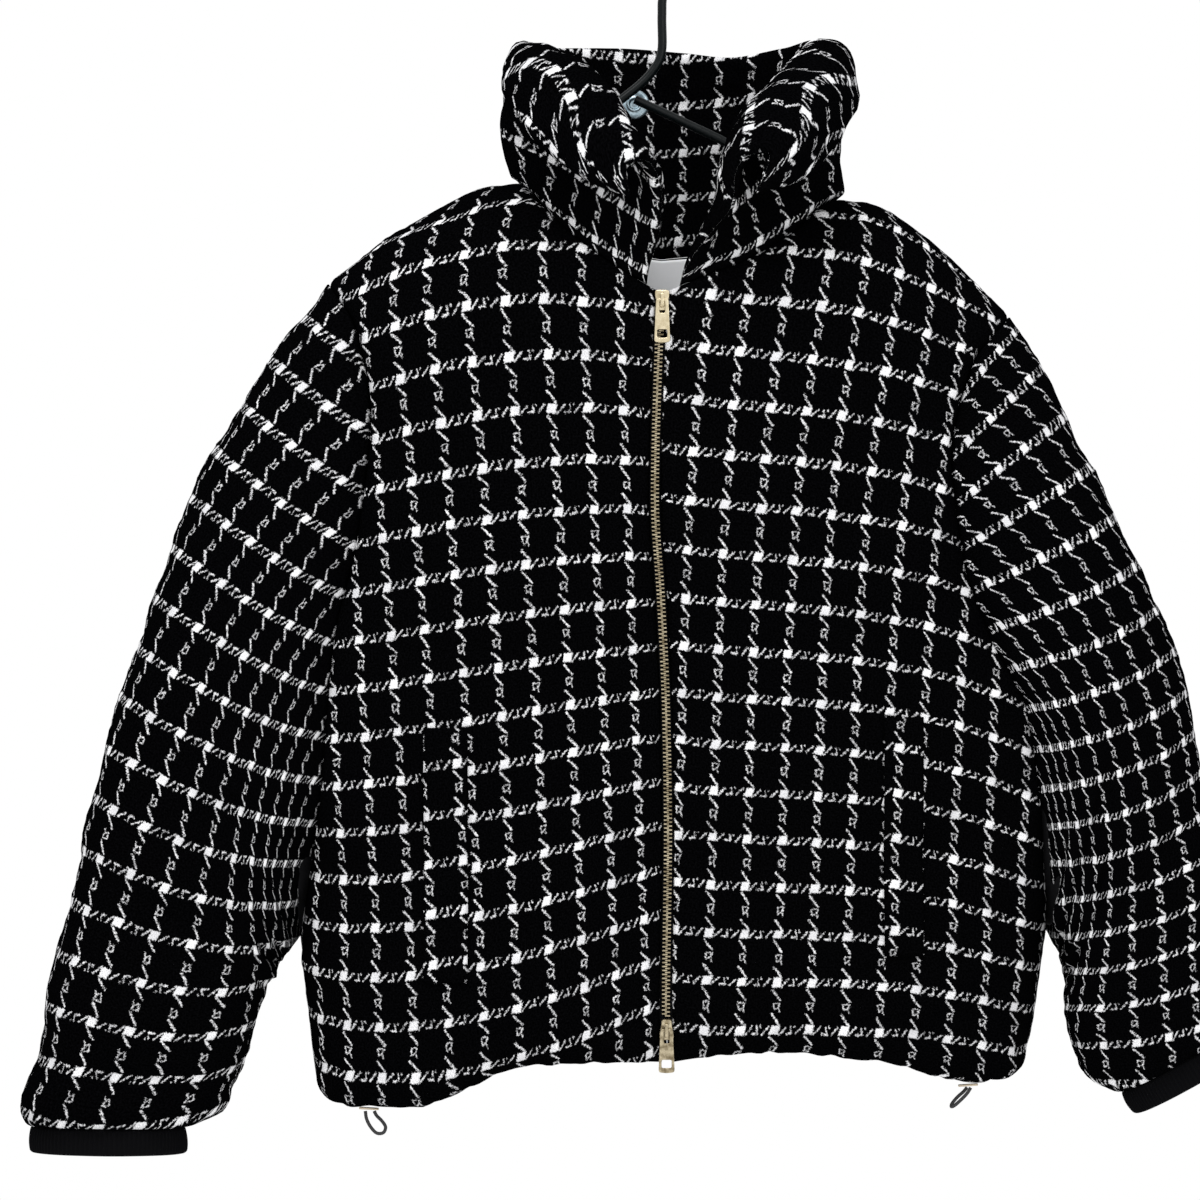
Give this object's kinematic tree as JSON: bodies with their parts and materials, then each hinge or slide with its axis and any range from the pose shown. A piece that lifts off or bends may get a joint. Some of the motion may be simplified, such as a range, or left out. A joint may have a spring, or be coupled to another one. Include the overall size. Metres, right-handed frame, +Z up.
{
  "type": "puffer jacket on a hanger",
  "caption": "Cropped puffer jacket in black tweed with a white windowpane check, tall collar with rolled ends, two-way metal zip, rib cuffs and a drawcord hem, on a black rod hanger.",
  "frame": {"origin": "inside of the hook's crown, where a rail carries the hanger", "axes": "+Z up, the jacket's front faces -Y, +X to the right of someone who faces the jacket"},
  "size_m": [0.825, 0.1898, 0.8416],
  "materials": {
    "tweed": "boucle tweed, black with white check",
    "rib_knit": "rib knit",
    "zip_tape": "woven tape",
    "antique_brass": "aged, satin",
    "pale_gold": "polished",
    "label": "satin woven, plain",
    "stud": "satin",
    "cord": "braided elastic",
    "eyelet": "satin",
    "black_rod": "semi-gloss"
  },
  "bodies": {
    "jacket": {"front_left": "tweed", "front_right": "tweed", "back": "tweed", "sleeve_left": "tweed", "sleeve_right": "tweed", "cuff_left": "rib_knit", "cuff_right": "rib_knit", "collar": "tweed", "pocket_welt_left": "tweed", "pocket_welt_right": "tweed", "zip_tape_left": "zip_tape", "zip_tape_right": "zip_tape", "zip_chain": "antique_brass", "zip_slider_top": "pale_gold", "zip_slider_bottom": "antique_brass", "neck_label": "label", "collar_stud": "stud", "drawcord_eyelet_left": "eyelet", "drawcord_loop_left": "cord", "drawcord_eyelet_right": "eyelet", "drawcord_loop_right": "cord", "hanger_rod": "black_rod", "hanger_arm_right": "black_rod"},
    "pull_top": {"zip_pull_top": "pale_gold"},
    "pull_bottom": {"zip_pull_bottom": "antique_brass"}
  },
  "joints": [
    {"name": "pull_top_swing", "type": "hinge", "parent": "jacket", "child": "pull_top", "pos_m": [-0.00055, -0.06997, -0.27071], "axis": [-1, 0, 0], "range_deg": [0, 160]},
    {"name": "pull_bottom_swing", "type": "hinge", "parent": "jacket", "child": "pull_bottom", "pos_m": [0.00239, -0.06429, -0.74963], "axis": [-1, 0, 0], "range_deg": [0, 160]}
  ]
}
